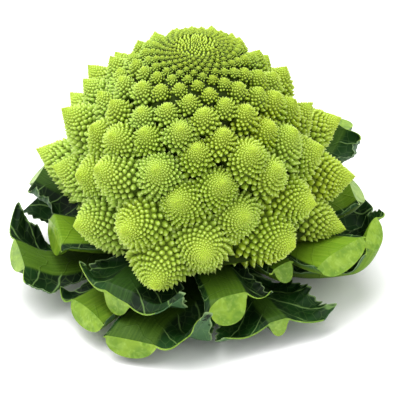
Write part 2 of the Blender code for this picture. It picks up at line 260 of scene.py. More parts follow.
# A round sheet, extruded and narrowed step by step and closed in a tip
def growCone(name, sides, steps, tip):
    deselect()
    bpy.ops.mesh.primitive_circle_add(vertices=sides, radius=1.0, fill_type="NGON", location=(0, 0, 0))
    cone = bpy.context.object
    cone.name = name
    bpy.ops.object.mode_set(mode="EDIT")
    bpy.ops.mesh.select_all(action="SELECT")
    for rise, width in steps:
        bpy.ops.mesh.extrude_region_move(TRANSFORM_OT_translate={"value": (0, 0, rise)})
        bpy.ops.transform.resize(value=(width, width, 1))
    bpy.ops.mesh.merge(type="CENTER")
    bpy.ops.transform.translate(value=(0, 0, tip))
    bpy.ops.mesh.select_all(action="SELECT")
    bpy.ops.mesh.normals_make_consistent(inside=False)
    bpy.ops.object.mode_set(mode="OBJECT")
    return cone


# From the sunk root to the foot, then up the side to the tip
def growBody():
    shares, depth, width = floretBody["shares"], floretBody["rootDepth"], floretBody["rootWidth"]
    steps = [(depth, 1 / width)]
    for before, share in zip(shares, shares[1:]):
        wide, tall, _ = floretSide(share)
        steps.append((tall - floretSide(before)[1], wide / floretSide(before)[0]))
    body = growCone("floretBody", floretBody["sides"], steps, 1 - floretSide(shares[-1])[1])
    pick(body)
    bpy.ops.transform.resize(value=(width, width, 1))
    bpy.ops.transform.translate(value=(0, 0, -depth))
    bpy.ops.object.transform_apply()
    return body


# Every other point of each ring is pushed out, so that the cone carries beads of its own
def raiseKnobs(cone, sides, out):
    rings = sorted({round(v.co.z, 5) for v in cone.data.vertices})
    bpy.ops.object.mode_set(mode="EDIT")
    bpy.ops.mesh.select_all(action="DESELECT")
    bpy.ops.object.mode_set(mode="OBJECT")
    for vert in cone.data.vertices:
        ring = rings.index(round(vert.co.z, 5))
        around = round(math.degrees(math.atan2(vert.co.y, vert.co.x)) / (360 / sides))
        vert.select = 0 < ring < len(rings) - 1 and (around + ring) % 2 == 0
    bpy.ops.object.mode_set(mode="EDIT")
    bpy.ops.mesh.select_mode(type="VERT")
    bpy.ops.transform.shrink_fatten(value=out)
    bpy.ops.object.mode_set(mode="OBJECT")
    return cone


# Points and triangles of a modelled piece, which is then removed
def takeShape(thing):
    mesh = thing.data
    mesh.calc_loop_triangles()
    points = np.array([v.co for v in mesh.vertices])
    triangles = np.array([t.vertices for t in mesh.loop_triangles])
    bpy.data.objects.remove(thing)
    return points, triangles


# Two directions across one direction
def axesAlong(direction):
    helper = Vector((0, 0, 1)) if abs(direction.z) < 0.9 else Vector((1, 0, 0))
    across = helper.cross(direction).normalized()
    return across, direction.cross(across)


# A repeatable irregularity between -1 and 1
def irregular(number, kind):
    phase = number * 12.9898 + (kind + curd["looseSeed"]) * 78.233
    return 2 * (math.sin(phase) * 43758.5453 % 1.0) - 1


def curdRadius(turn):
    radius = curd["radius"] + curd["apexRise"] * math.exp(-(turn / math.radians(curd["apexTurn"])) ** 2)
    rim = smoothStep(math.radians(curd["rimFrom"]), math.radians(curd["rimTo"]), turn)
    return radius + curd["rimWidening"] * rim


def floretSpacing(distance):
    growing = smoothStep(curd["growthFrom"], curd["growthTo"], distance)
    growth = curd["knobGrowth"] + curd["growth"] * growing
    return min(curd["widest"], curd["spacing"] + growth * distance)


def floretTall(distance):
    rising = smoothStep(curd["heightFrom"], curd["heightTo"], distance)
    return curd["apexHeight"] + (curd["fullHeight"] - curd["apexHeight"]) * rising


leanForward = Matrix.Rotation(math.radians(curd["leanForward"]), 3, "X")


def floretAt(number, distance, spacing):
    loose = smoothStep(curd["looseFrom"], curd["looseTo"], distance)
    girth = max(curd["leastGirth"], curd["radius"] * math.sin(distance / curd["radius"]))
    around = curd["firstAzimuth"] - number * golden
    around += math.degrees(curd["looseSide"] * loose * irregular(number, 1) * spacing / girth)
    turn = (distance + curd["looseDown"] * loose * irregular(number, 2) * spacing) / curd["radius"]
    outward, side = levelDirections(around)
    reach = curdRadius(turn) - floretTall(distance) * spacing
    spacing = spacing * (1 + curd["looseSize"] * loose * irregular(number, 3))
    height = floretTall(distance) * spacing * (1 + curd["looseHeight"] * loose * irregular(number, 4))
    axis = turnedUp(curd["lean"] * turn, outward)
    tilt = math.radians(curd["looseTilt"] * loose * irregular(number, 5))
    axis = Matrix.Rotation(tilt, 3, side) @ axis
    tilt = math.radians(curd["looseTilt"] * loose * irregular(number, 6))
    axis = Matrix.Rotation(tilt, 3, side.cross(axis)) @ axis
    across = (side - axis * side.dot(axis)).normalized()
    base = leanForward @ (turnedUp(turn, outward) * reach)
    return {
        "number": number,
        "base": curd["centre"] + Vector((base.x * curd["sideStretch"], base.y, base.z)),
        "axis": leanForward @ axis,
        "side": leanForward @ across,
        "fore": leanForward @ across.cross(axis),
        "spacing": spacing,
        "height": height,
        "distance": distance,
    }


# Florets at the golden angle, outwards from the apex, with a spacing that grows on the way
def placeFlorets():
    florets = []
    distance, number = curd["spacing"] / 2, 0
    while math.degrees(distance / curd["radius"]) < curd["rimTurn"]:
        spacing = floretSpacing(distance)
        florets.append(floretAt(number, distance, spacing))
        circle = 2 * math.pi * curd["radius"] * math.sin(distance / curd["radius"])
        distance += evenShare * spacing ** 2 / circle
        number += 1
    return florets


# Half width, height and steepness at a share of the way down a floret's side
def floretSide(share):
    straight, power = curd["straight"], curd["roundingPower"]
    wide = share - curd["footNarrowing"] * share ** 3
    tall = 1 - straight * share - (1 - straight) * share ** power
    return wide, tall, straight + power * (1 - straight) * share ** (power - 1)


# The only bead of a floret on the knob
def singleBead(floret):
    spacing, number = floret["spacing"], floret["number"]
    aside = floret["side"] * irregular(number, 8) + floret["fore"] * irregular(number, 9)
    sunk = curd["singleSunk"] + curd["beadLoose"] * abs(irregular(number, 10))
    place = floret["base"] + floret["axis"] * (floret["height"] - sunk * spacing)
    return place + aside * curd["beadLoose"] * spacing, floret["axis"], spacing, curd["singleShare"]


# The beads of a larger floret, at the golden angle from its tip down to its foot
def beadsOf(floret):
    height, axis, number = floret["height"], floret["axis"], floret["number"]
    reach = curd["reach"] * floret["spacing"]
    slant = math.hypot(reach, height)
    growth = np.interp(floret["spacing"], curd["beadGrowthFor"], curd["beadGrowth"])
    along, count = curd["beadSpacing"] * curd["firstBead"], 0
    while along < slant:
        width = curd["beadSpacing"] + growth * along
        share = min(1.0, along / slant + curd["beadLoose"] * width / slant * irregular(count, number))
        around = math.radians(number * curd["spiralTurn"] + count * golden)
        around += curd["beadLoose"] * width / max(along, width) * irregular(count, number + 7)
        out = floret["side"] * math.cos(around) + floret["fore"] * math.sin(around)
        wide, tall, slope = floretSide(share)
        place = floret["base"] + out * reach * wide + axis * (height * tall - curd["beadSunk"])
        facing = (out * height * slope + axis * reach).normalized()
        way = (facing + axis * (curd["beadLift"] - curd["beadDrop"] * share)).normalized()
        yield place, way, width, share
        along += evenShare * width ** 2 / (2 * math.pi * max(width / 2, reach * wide))
        count += 1


# Place, way, width, share of the way down and floret of every bead
def placeBeads(florets):
    beads = []
    for owner, floret in enumerate(florets):
        own = [singleBead(floret)] if floret["spacing"] < curd["single"] else beadsOf(floret)
        beads += [bead + (owner,) for bead in own]
    return tuple(np.array(column) for column in zip(*beads))


# True for a bead that lies inside a neighbouring floret, where nobody sees it
def buriedIn(places, widths, owners, florets):
    buried = np.zeros(len(places), bool)
    for index, floret in enumerate(florets):
        if floret["spacing"] < curd["single"]:
            continue
        rel = places - np.array(floret["base"])
        up = rel @ np.array(floret["axis"])
        off = np.linalg.norm(rel - np.outer(up, floret["axis"]), axis=1)
        reach = curd["reach"] * floret["spacing"]
        down = np.clip(off / reach, 0, 1)
        top = floret["height"] * floretSide(down)[1]
        inside = (off < reach) & (up < top - curd["beadBuried"] * widths) & (up > -floret["height"])
        buried |= inside & (owners != index)
    return buried


# One copy of a small shape for each place, as one set of points and triangles
def stamp(shape, places, ways, widths, heights, twists):
    points, triangles = shape
    frames = np.empty((len(places), 3, 3))
    for i, way in enumerate(ways):
        across, beside = axesAlong(Vector(way))
        turn = Matrix.Rotation(twists[i], 3, Vector(way))
        frames[i, :, 0] = turn @ across * widths[i]
        frames[i, :, 1] = turn @ beside * widths[i]
        frames[i, :, 2] = Vector(way) * heights[i]
    made = np.einsum("kij,nj->kni", frames, points) + np.asarray(places)[:, None, :]
    offsets = np.arange(len(places))[:, None, None] * len(points)
    return made.reshape(-1, 3), (triangles[None] + offsets).reshape(-1, 3)


def meshFrom(name, points, triangles, paint):
    mesh = bpy.data.meshes.new(name)
    mesh.vertices.add(len(points))
    mesh.vertices.foreach_set("co", np.asarray(points, np.float32).ravel())
    mesh.loops.add(len(triangles) * 3)
    mesh.loops.foreach_set("vertex_index", np.asarray(triangles, np.int32).ravel())
    mesh.polygons.add(len(triangles))
    mesh.polygons.foreach_set("loop_start", np.arange(len(triangles), dtype=np.int32) * 3)
    mesh.polygons.foreach_set("use_smooth", np.ones(len(triangles), bool))
    mesh.update()
    layer = mesh.color_attributes.new("growth", "FLOAT_COLOR", "POINT")
    layer.data.foreach_set("color", np.asarray(paint, np.float32).ravel())
    thing = bpy.data.objects.new(name, mesh)
    bpy.context.scene.collection.objects.link(thing)
    return thing


# The greens of the curd, from the painted shade of its gaps up to the painted highlights on the beads'
# tops
curdGreens = {
    "plain": (srgb(142, 170, 18), srgb(162, 180, 12)),
    "patchRange": (0.35, 0.65),
    # pale green: by chance, and as painted light towards the left side
    "pale": srgb(168, 204, 98),
    "paleShare": 0.75,
    "tip": srgb(198, 220, 78),
    "tipShare": 0.8,
    "tipRise": 0.9,           # how far the tips stay clear of the painted shade of the gaps
    # painted shade: the dark green laid into the gaps between beads and florets
    "gap": srgb(30, 48, 0),
    "gapShadeRise": (0.18, 0.75),  # how far up a bead the painted shade of the gaps gives way
    # painted highlight: the pale green laid on the beads' tops
    "top": srgb(203, 224, 130),
    "highlightRise": (0.70, 1.0),
    "speck": srgb(108, 134, 26),
    "speckShare": 0.25,
    "patchScale": 28.0,
    "grainScale": 900.0,
    "grainDepth": 0.0002,
}


def curdFinish():
    finish, greens = Finish("romanescoGreen"), curdGreens
    place = finish.objectPlace()
    rise, tip, paleAndLeftLight = finish.colourPaint("growth")[:3]
    patches = finish.noise(place, greens["patchScale"], 2.0)
    grain = finish.noise(place, greens["grainScale"], 2.0)
    tone = finish.blend(finish.ramp(patches, *greens["patchRange"]), *greens["plain"])
    # Paler by chance, and towards the left side as painted light
    tone = finish.blend(finish.times(paleAndLeftLight, greens["paleShare"]), tone, greens["pale"])
    tone = finish.blend(finish.times(tip, greens["tipShare"]), tone, greens["tip"])
    # Painted shade: low on a bead or a body, and on the core, the tone gives way to the dark green of the
    # gaps
    lit = finish.maths("MAXIMUM", rise, finish.times(tip, greens["tipRise"]))
    gapShaded = finish.blend(finish.ramp(lit, *greens["gapShadeRise"]), greens["gap"], tone)
    # Painted highlight on the beads' tops
    highlighted = finish.blend(finish.ramp(rise, *greens["highlightRise"]), gapShaded, greens["top"])
    speckled = finish.blend(finish.times(grain, greens["speckShare"]), highlighted, greens["speck"])
    relief = finish.bump(grain, 0.25, greens["grainDepth"])
    return finish.shade(
        Base_Color=speckled, Roughness=0.55, Specular_IOR_Level=0.13, Normal=relief,
        Subsurface_Weight=0.08, Subsurface_Scale=0.0012, Subsurface_Radius=(0.7, 1.0, 0.2))


# How pale a floret is: by chance, and paler towards the left side as painted light from the left
def palenessAndLeftLight(floret):
    chance = curd["paleLoose"] * random.random()
    return chance + curd["leftLightPaling"] * smoothStep(curd["leftLightFrom"], curd["leftLightTo"], floret["base"].x)


# The three shapes of beads, small ones first
def growShapes():
    shapes = []
    for name, shape in beadShapes.items():
        cone = growCone(name, shape["sides"], shape["steps"], shape["tip"])
        if name == "buds":
            cone = raiseKnobs(cone, shape["sides"], budKnobs)
        shapes.append((name, takeShape(cone)))
    return shapes


# All beads as sets of points, triangles and paint: how far up the bead, which sets the painted shade at
# its foot and the painted highlight at its top; how near the tip; how pale, by chance and as painted
# light towards the left
def shapeBeads(florets):
    places, ways, widths, shares, owners = placeBeads(florets)
    keep = ~buriedIn(places, widths, owners, florets)
    lowest = places[:, 2] - curd["beadClear"] * widths
    keep &= lowest > np.array([restHeight(Vector(place)) for place in places])
    places, ways, widths, shares, owners = (a[keep] for a in (places, ways, widths, shares, owners))
    print(len(florets), "florets with", len(places), "beads")
    shapes = growShapes()
    palesAndLeftLight = np.array([palenessAndLeftLight(floret) for floret in florets])
    kinds = np.digitize(widths, (curd["small"], curd["large"]))
    parts = []
    for kind, (name, shape) in enumerate(shapes):
        chosen = np.where(kinds == kind)[0]
        pieces = max(1, math.ceil(len(chosen) * len(shape[1]) / curd["most"]))
        for index in np.array_split(chosen, pieces):
            size = widths[index] * curd["beadWidth"]
            size = size * np.array([random.uniform(*curd["beadSizes"]) for _ in index])
            twist = [random.uniform(0, math.tau) for _ in index]
            roots = places[index] - ways[index] * (size * curd["beadRoot"])[:, None]
            points, triangles = stamp(shape, roots, ways[index], size, size * curd["beadTall"], twist)
            rise = np.clip(shape[0][:, 2] / shape[0][:, 2].max(), 0, 1)
            paint = np.ones((len(index), len(rise), 4))
            # how far up its bead: the foot takes the painted shade of the gaps and the top the painted
            # highlight
            paint[:, :, 0] = rise[None]
            paint[:, :, 1] = (1 - shares[index])[:, None] ** 2
            # paleness by chance, with painted light towards the left side
            paint[:, :, 2] = palesAndLeftLight[owners[index]][:, None]
            parts.append((name, points, triangles, paint.reshape(-1, 4)))
    return parts


def shapeBodies(florets):
    body = takeShape(growBody())
    bodies = [f for f in florets if f["spacing"] > curd["single"]]
    reach = np.array([curd["reach"] * f["spacing"] * floretBody["width"] for f in bodies])
    tall = np.array([f["height"] - floretBody["sunk"] * curd["beadSunk"] for f in bodies])
    axis = np.array([f["axis"] for f in bodies])
    base = np.array([f["base"] for f in bodies])
    points, triangles = stamp(body, base, axis, reach, tall, [0.0] * len(bodies))
    points[:, 2] = [max(p[2], restHeight(Vector(p))) for p in points]
    near = np.tile(np.clip(body[0][:, 2], 0, 1) ** 2, len(bodies))
    paint = np.ones((len(points), 4))
    # painted shade at a body's foot, lighter towards its tip up to the painted highlight
    paint[:, 0] = floretBody["dark"] + floretBody["light"] * near
    paint[:, 1] = near
    paint[:, 2] = floretBody["pale"]
    return "floretBodies", points, triangles, paint


def finishCurdPiece(piece, finish):
    piece.data.materials.append(finish)
    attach(piece, "root")
    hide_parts("curd")


def makeCurd():
    florets = placeFlorets()
    parts = shapeBeads(florets) + [shapeBodies(florets)]
    finish = curdFinish()
    for number, (name, points, triangles, paint) in enumerate(parts, start=1):
        piece = meshFrom(f"curd_{name}_{number:02d}", points, triangles, paint)
        finishCurdPiece(piece, finish)
        print(piece.name, len(triangles), "triangles")
    makeCore(finish)


core = {
    "segments": 96,
    "rings": 60,
    "depth": 1.0,             # below the florets' tips, as a share of their height
    "deeper": 0.45,           # at the apex, as a share of the spacing
    "deeperFrom": 0.012,
    "deeperTo": 0.030,
    # painted shade: so low a rise gives the core the dark green of the gaps
    "paint": (0.12, 0.1, 0.3, 1.0),
    "underTurns": (108.0, 134.0, 146.0, 160.0, 180.0),
    "underRadii": (0.066, 0.0440, 0.0330, 0.0200, 0.0),
    "underHeights": (0.045, 0.0424, 0.0422, 0.0420, 0.0420),
    "underEdge": 0.048,       # beyond it the underside falls towards the leaves
    "underSlope": 0.8,
    "clear": 0.0020,          # of the leaves
}


# Least height of the curd at a point's place, above the stalk and the leaves
def restHeight(point):
    beyond = max(0.0, math.hypot(point.x, point.y) - core["underEdge"])
    return max(core["underHeights"][-1] - core["underSlope"] * beyond, nestHeight(point) + core["clear"])


# What the florets stand on, seen only between them and from below; its paint gives it the painted shade
# of the gaps
def makeCore(finish):
    deselect()
    bpy.ops.mesh.primitive_uv_sphere_add(segments=core["segments"], ring_count=core["rings"], radius=1.0)
    piece = bpy.context.object
    piece.name = "curd_core"
    for vert in piece.data.vertices:
        turn = math.acos(max(-1.0, min(1.0, vert.co.z)))
        outward = Vector((vert.co.x, vert.co.y, 0))
        outward = outward.normalized() if outward.length > 1e-6 else Vector((1, 0, 0))
        if math.degrees(turn) < curd["rimTurn"]:
            distance = turn * curd["radius"]
            deeper = core["deeper"] * (1 - smoothStep(core["deeperFrom"], core["deeperTo"], distance))
            depth = floretTall(distance) * core["depth"] + deeper
            radius = curdRadius(turn) - floretSpacing(distance) * depth
            spot = leanForward @ (turnedUp(turn, outward) * radius)
            vert.co = curd["centre"] + Vector((spot.x * curd["sideStretch"], spot.y, spot.z))
        else:
            level = math.degrees(turn)
            radius = np.interp(level, core["underTurns"], core["underRadii"])
            height = np.interp(level, core["underTurns"], core["underHeights"])
            vert.co = outward * radius + Vector((0, 0, height))
        vert.co.z = max(vert.co.z, restHeight(vert.co))
    bpy.ops.object.shade_smooth()
    layer = piece.data.color_attributes.new("growth", "FLOAT_COLOR", "POINT")
    layer.data.foreach_set("color", core["paint"] * len(piece.data.vertices))
    finishCurdPiece(piece, finish)


# The nest of leaves: the same formula as in the solids, on a finer grid. Where a value has
# two numbers, they are for the lower and the upper round. Rates are in radians a metre.
nest = {
    "tierTop": (0.0166, 0.0346),  # height of the leaves' upper faces at the stalk
    "tierFirst": (-86.0, -68.0),  # azimuth of the first leaf at the stalk
    "tierPitch": (40.0, 36.0),    # and from each leaf to the next
    "turnFrom": 0.024,        # where a leaf leaves its even place for that of its cut end
    "turnTo": 0.080,
    "rib": (0.0158, 0.0163),  # thickness of a midrib
    "ribStart": 0.42,         # half width of a midrib at the stalk, as a share of its full width
    "ribGain": 0.08,          # and how much more it has at the cut
    "ribCrowding": 0.30,      # most half width, as a share of the distance from the axis
    "taper": 0.40,            # share of its thickness that a midrib loses on the way to its cut
    "start": 0.0190,          # distance from the axis at which a leaf's width and taper begin
    "blade": 0.0010,          # thickness of a blade
    "smallBlade": 0.0012,     # its width near the stalk
    "spreadFrom": 0.030,      # where it widens
    "spreadTo": 0.074,
    "fullBlade": 0.015,       # one as wide as this droops and waves in full
    "overhang": 0.008,        # how far a midrib is grown past its cut, before it is trimmed
    "recess": 0.002,          # how far the blades stay short of it
    "gap": 0.0010,            # how far it stays short of the line between it and the next
    "droop": 0.0040,          # how deep a blade sags beside its midrib
    "wave": 0.0035,           # and how deep its waves are
    "waveRate": 150.0,
    "waveTurn": 0.2,
    "ruffle": 0.20,           # how much its width changes
    "ruffleRate": 110.0,
    "ruffleTurn": 0.3,
    "ragged": 0.09,           # fine unevenness of a blade's edge, outwards and up
    "raggedRate": 1300.0,
    "raggedBeat": 0.37,       # of a second, slower swing
    "frill": 0.0016,
    "frillRate": 430.0,
    "crown": 0.0022,          # how far the palest midribs bulge up
    "crownFrom": 0.055,
    "crownTo": 0.085,
    "curlFrom": 0.074,        # where the blades curl up
    "curlTo": 0.086,
    "curlPower": 1.6,
    "liftFrom": 0.082,        # where a whole leaf rises or sinks towards its cut
    "cupFrom": 0.056,         # where the nest begins to bend up, and the height that isn't stretched
    "cupLevel": 0.020,
    "cupBend": 20.0,          # how sharply it bends at the azimuth below, in radians a metre
    "cupSide": 165.0,
    "cupPower": 0.8,
    "leastBend": 0.02,        # at the azimuth across from it, as a share
    "stalkRadius": 0.0233,    # where the leaves end at the stalk
    "columns": 44,            # across one face
    "columnPower": 0.9,       # closer together where the blades meet the midrib
    "steps": 110,
    "stepPower": 0.75,
    "slopeStep": 0.02,        # how far before and after a point the slope of a leaf is read
    "slopeSide": 0.6,
    "bladeShare": 0.9,
    "mapScale": 10.0,         # of the leaf's map, in units a metre
    "weld": 0.00001,
    "smoothBelow": 50.0,      # edges sharper than this stay sharp
}

# Azimuth, distance of the cut, midrib width, lift, left and right blade, left and right curl,
# then the slant of the cut and its tilt
leafTiers = (
    (
        (-72, 0.105, 0.024, 0.006, 0.015, 0.010, 0.008, 0.000, 0, 12),
        (-41, 0.094, 0.027, 0.000, 0.012, 0.010, 0.004, 0.003, -10, 22),
        (-23, 0.099, 0.030, -0.003, 0.006, 0.026, 0.000, 0.018, 6, 15),
        (28, 0.086, 0.010, -0.001, 0.030, 0.028, 0.000, 0.000, -6, 0),
        (75, 0.102, 0.024, 0.012, 0.003, 0.010, 0.000, 0.002, -12, 15),
        (114, 0.092, 0.024, 0.003, 0.016, 0.016, 0.000, 0.000, 0, 10),
        (154, 0.088, 0.024, 0.000, 0.018, 0.018, 0.000, 0.000, 0, 10),
        (194, 0.088, 0.024, 0.000, 0.018, 0.018, 0.000, 0.000, 0, 10),
        (240, 0.092, 0.024, 0.003, 0.018, 0.018, 0.000, 0.000, 0, 10),
    ),
    (
        (-76, 0.084, 0.030, -0.004, 0.002, 0.003, 0.000, 0.000, 0, 5),
        (-31, 0.087, 0.016, -0.005, 0.022, 0.026, 0.008, 0.022, -8, 5),
        (10, 0.088, 0.021, -0.004, 0.002, 0.014, 0.000, 0.002, 14, 25),
        (40, 0.072, 0.014, 0.001, 0.003, 0.004, 0.000, 0.000, 0, 20),
        (57, 0.096, 0.038, -0.001, 0.004, 0.002, 0.002, 0.000, -22, 22),
        (96, 0.096, 0.024, 0.002, 0.004, 0.012, 0.002, 0.008, 0, 15),
        (125, 0.119, 0.018, 0.000, 0.022, 0.020, 0.010, 0.010, 0, 10),
        (170, 0.104, 0.024, 0.000, 0.018, 0.018, 0.006, 0.006, 0, 10),
        (222, 0.106, 0.022, 0.000, 0.018, 0.012, 0.006, 0.004, 0, 10),
        (254, 0.102, 0.018, 0.000, 0.012, 0.020, 0.002, 0.010, 0, 10),
    ),
)

# How pale a leaf's midrib is on its upper face, by the leaf's number, 1 for the palest
# leaf 12's low value is partly painted shade, darkening it among the front leaves
paleRibs = {1: 0.3, 2: 0.6, 3: 0.2, 5: 0.9, 10: 1.0, 11: 0.0, 12: 0.30, 13: 0.5, 14: 1.0, 15: 0.7}
otherRibs = 0.1


def leafNumber(tier, place):
    return 1 + place + tier * len(leafTiers[0])


def ribPaleness(tier, place):
    return paleRibs.get(leafNumber(tier, place), otherRibs)


# The nest bends up like a bowl, most of all towards one side
def cupBend(point):
    azimuth = math.degrees(math.atan2(point.x, -point.y))
    share = (1 + math.cos(math.radians(azimuth - nest["cupSide"]))) / 2
    return nest["cupBend"] * (nest["leastBend"] + share ** nest["cupPower"])


def cupUp(point):
    radius = math.hypot(point.x, point.y)
    if radius < nest["cupFrom"]:
        return point
    bend = cupBend(point)
    centre = 1 / bend + nest["cupLevel"]
    turn = bend * (radius - nest["cupFrom"])
    cupped = nest["cupFrom"] + (centre - point.z) * math.sin(turn)
    height = centre - (centre - point.z) * math.cos(turn)
    return Vector((point.x * cupped / radius, point.y * cupped / radius, height))


# Height of the upper leaves' faces at a point's place
def nestHeight(point):
    beyond = max(0.0, math.hypot(point.x, point.y) - nest["cupFrom"])
    centre = 1 / cupBend(point) + nest["cupLevel"]
    return centre - math.sqrt(max(0.0, (centre - nest["tierTop"][1]) ** 2 - beyond ** 2))


# Azimuth of a leaf at a distance from the axis
def leafHeading(tier, place, reach):
    base = nest["tierFirst"][tier] + nest["tierPitch"][tier] * place
    turned = smoothStep(nest["turnFrom"], nest["turnTo"], reach)
    return base + (leafTiers[tier][place][0] - base) * turned


# Half width of the midrib, then the widths of the left and the right blade
def leafWidths(tier, place, reach):
    _, cut, width, _, left, right = leafTiers[tier][place][:6]
    along = (reach - nest["start"]) / (cut - nest["start"])
    half = min(nest["ribCrowding"] * reach, width * (nest["ribStart"] + nest["ribGain"] * along))
    spread = smoothStep(nest["spreadFrom"], nest["spreadTo"], reach)
    return half, nest["smallBlade"] + left * spread, nest["smallBlade"] + right * spread


# How far a leaf may reach sideways before it meets its neighbour in the same round
def sideRoom(tier, place, side, reach):
    other = (place + side) % len(leafTiers[tier])
    gap = abs(leafHeading(tier, other, reach) - leafHeading(tier, place, reach))
    gap = min(gap, 360.0 - gap)
    half, left, right = leafWidths(tier, place, reach)
    otherHalf, otherLeft, otherRight = leafWidths(tier, other, reach)
    own = half + (right if side > 0 else left)
    others = otherHalf + (otherLeft if side > 0 else otherRight)
    return reach * math.tan(math.radians(gap * own / (own + others))) - nest["gap"]


# A swing between -1 and 1 along a leaf, which differs from leaf to leaf and from side to side
def swing(rate, reach, shift):
    return math.sin(nest[rate] * reach + shift)


# Place on a leaf's upper face, with its distance from the axis and from the leaf's middle line.
# Across, the midrib goes from -1 to 1 and the blades on to -3 and 3.
def leafPoint(tier, place, along, across):
    azimuth, cut, _, lift, _, _, curlLeft, curlRight, _, _ = leafTiers[tier][place]
    side = 1 if across > 0 else -1
    rib = min(1.0, abs(across))
    out = max(0.0, abs(across) - 1.0) / 2.0
    end = cut + nest["overhang"] * (1 - out) - nest["recess"] * out
    width = nest["ribCrowding"] * nest["stalkRadius"] * rib + nest["smallBlade"] * out
    start = math.sqrt(nest["stalkRadius"] ** 2 - width ** 2)
    reach = start + (end - start) * along ** nest["stepPower"]
    half, left, right = leafWidths(tier, place, reach)
    room = sideRoom(tier, place, side, reach)
    half = min(half, room - nest["smallBlade"])
    ruffle = 1 + nest["ruffle"] * swing("ruffleRate", reach, nest["ruffleTurn"] * azimuth + side)
    blade = min((right if side > 0 else left) * ruffle, room - half)
    ragged = swing("raggedRate", reach, azimuth)
    ragged *= swing("raggedRate", nest["raggedBeat"] * reach, 2 * side)
    edge = min(blade * (1 + nest["ragged"] * ragged * out), room - half)
    lateral = half * rib + edge * out
    swung = swing("waveRate", reach, nest["waveTurn"] * azimuth + 2 * side)
    wave = nest["wave"] * (1 + swung) * out
    wave += nest["frill"] * out ** 3 * swing("frillRate", reach, azimuth + 4 * side)
    sag = (wave + nest["droop"] * math.sin(math.pi * out)) * min(1.0, blade / nest["fullBlade"])
    curled = smoothStep(nest["curlFrom"], nest["curlTo"], reach) * out ** nest["curlPower"]
    rise = (curlRight if side > 0 else curlLeft) * curled
    rise += lift * smoothStep(nest["liftFrom"], cut, reach)
    crowned = smoothStep(nest["crownFrom"], nest["crownTo"], reach) * max(0.0, 1 - across * across)
    rise += nest["crown"] * ribPaleness(tier, place) * crowned
    outward, sideways = levelDirections(leafHeading(tier, place, reach))
    level = Vector((0, 0, nest["tierTop"][tier] - sag + rise))
    return cupUp(outward * reach + sideways * side * lateral + level), reach, side * lateral


# A point of a leaf's cut face and the way it faces
def cutPlane(tier, place):
    azimuth, cut, _, lift, _, _, _, _, slant, tilt = leafTiers[tier][place]
    outward, _ = levelDirections(azimuth)
    middle = Vector((0, 0, nest["tierTop"][tier] + lift - nest["rib"][tier] / 2))
    near = cupUp(outward * cut + middle)
    inner = cupUp(outward * (cut - nest["rib"][tier] / 4) + middle)
    slope = math.atan2(near.z - inner.z, (near - inner).to_2d().length)
    turn = Euler((-slope - math.radians(tilt), 0.0, math.radians(azimuth + slant)))
    return near, turn.to_matrix() @ Vector((0, -1, 0))


# How far below the upper face a leaf's lower face lies: as a vector, square to the midrib
def leafDepth(tier, place, along, across, reach):
    before = leafPoint(tier, place, max(0.0, along - nest["slopeStep"]), 0.0)[0]
    after = leafPoint(tier, place, min(1.0, along + nest["slopeStep"]), 0.0)[0]
    left = leafPoint(tier, place, along, -nest["slopeSide"])[0]
    right = leafPoint(tier, place, along, nest["slopeSide"])[0]
    down = -(after - before).cross(right - left).normalized()
    keel = math.sqrt(max(0.0, 1 - across * across))
    taper = 1 - nest["taper"] * (reach - nest["start"]) / (leafTiers[tier][place][1] - nest["start"])
    thick = (nest["rib"][tier] - nest["blade"]) * keel * taper
    return down * (nest["blade"] * nest["bladeShare"] + thick)


# Each point of the grid goes to its place on the leaf, and none goes inside the stalk
def rollLeaf(leaf, tier, place):
    columns = nest["columns"]
    spots = []
    for vert in leaf.data.vertices:
        around = round((vert.co.x + 1) / 2 * 2 * columns)
        along = (vert.co.y + 1) / 2
        under = around > columns
        share = (2 * columns - around if under else around) / columns
        across = 3 * math.copysign(abs(2 * share - 1) ** nest["columnPower"], 2 * share - 1)
        point, reach, lateral = leafPoint(tier, place, along, across)
        if under and share > 0 and 0 < along < 1:
            point = point + leafDepth(tier, place, along, across, reach)
        inside = nest["stalkRadius"] / math.hypot(point.x, point.y)
        vert.co = Vector((point.x * inside, point.y * inside, point.z)) if inside > 1 else point
        spots.append((reach, lateral, across, 1.0 if under else 0.0))
    return spots


# Where the skin's colours read their place: along the leaf, on which side of it, and how pale it is
def mapLeaf(leaf, spots, pale):
    first = leaf.data.uv_layers[0]
    first.name = "leafMap"
    second = leaf.data.uv_layers.new(name="leafSide")
    third = leaf.data.uv_layers.new(name="leafTone")
    for loop in leaf.data.loops:
        reach, lateral, across, under = spots[loop.vertex_index]
        first.data[loop.index].uv = (lateral * nest["mapScale"], reach * nest["mapScale"])
        second.data[loop.index].uv = (across, under)
        third.data[loop.index].uv = (pale, 0.0)


# A grid rolled round the leaf's section, out over its upper face and back under its keel, then cut
def makeLeaf(tier, place, skin, flesh):
    number = leafNumber(tier, place)
    deselect()
    bpy.ops.mesh.primitive_grid_add(
        x_subdivisions=2 * nest["columns"], y_subdivisions=nest["steps"], size=2, calc_uvs=True)
    leaf = bpy.context.object
    leaf.name = leaf.data.name = f"wrapperLeaf_{number:02d}"
    spots = rollLeaf(leaf, tier, place)
    mapLeaf(leaf, spots, ribPaleness(tier, place))
    leaf.data.materials.append(skin)
    bpy.ops.object.mode_set(mode="EDIT")
    bpy.ops.mesh.select_all(action="SELECT")
    bpy.ops.mesh.remove_doubles(threshold=nest["weld"])
    bpy.ops.mesh.flip_normals()
    cut, outwards = cutPlane(tier, place)
    bpy.ops.mesh.bisect(plane_co=cut, plane_no=outwards, clear_outer=True, threshold=nest["weld"] / 10)
    bpy.ops.mesh.edge_face_add()
    leaf.data.materials.append(flesh)
    leaf.active_material_index = 1
    bpy.ops.object.material_slot_assign()
    bpy.ops.mesh.select_all(action="SELECT")
    bpy.ops.mesh.fill_holes(sides=0)
    bpy.ops.object.mode_set(mode="OBJECT")
    bpy.ops.object.shade_smooth_by_angle(angle=math.radians(nest["smoothBelow"]))
    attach(leaf, "root")
    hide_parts(f"leaf_{number:02d}")
    return leaf


